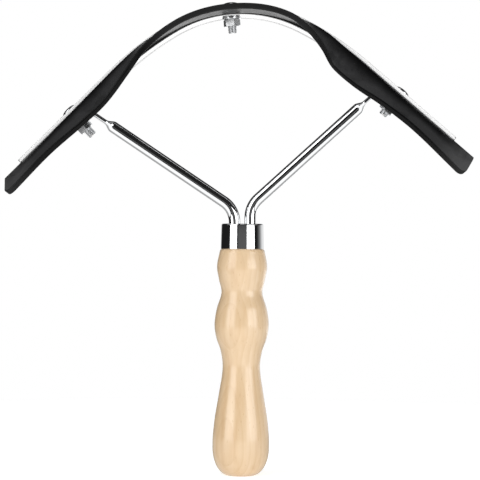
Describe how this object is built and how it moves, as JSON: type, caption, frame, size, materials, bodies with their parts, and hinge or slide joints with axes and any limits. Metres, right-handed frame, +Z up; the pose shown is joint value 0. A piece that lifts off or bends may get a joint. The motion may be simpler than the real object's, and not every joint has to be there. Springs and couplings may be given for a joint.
{
  "type": "horse sweat scraper",
  "caption": "Arched steel strap with a clamped rubber blade, carried by a two-armed chromed fork on a turned wooden handle, for wiping water off a wet coat.",
  "frame": {"origin": "centre of the handle's flat butt", "axes": "+Z up the handle towards the arch, +X across the arch, the blade's free lip on the -Y side"},
  "size_m": [0.2521, 0.0414, 0.2553],
  "materials": {
    "turned_wood": "clear lacquer over pale beech",
    "chrome_plate": "bright chrome plate",
    "polished_strap": "polished spring steel",
    "blade_rubber": "satin black rubber",
    "zinc_fastener": "bright zinc plate"
  },
  "bodies": {
    "root": {"handle": "turned_wood", "ferrule": "chrome_plate", "fork_arm_left": "chrome_plate", "fork_arm_right": "chrome_plate", "outer_strap": "polished_strap", "inner_strap": "polished_strap", "rubber_blade": "blade_rubber", "bolt_left": "zinc_fastener", "bolt_centre": "zinc_fastener", "bolt_right": "zinc_fastener", "washer_left": "zinc_fastener", "washer_centre": "zinc_fastener", "washer_right": "zinc_fastener", "nut_left": "zinc_fastener", "nut_centre": "zinc_fastener", "nut_right": "zinc_fastener"}
  },
  "joints": []
}
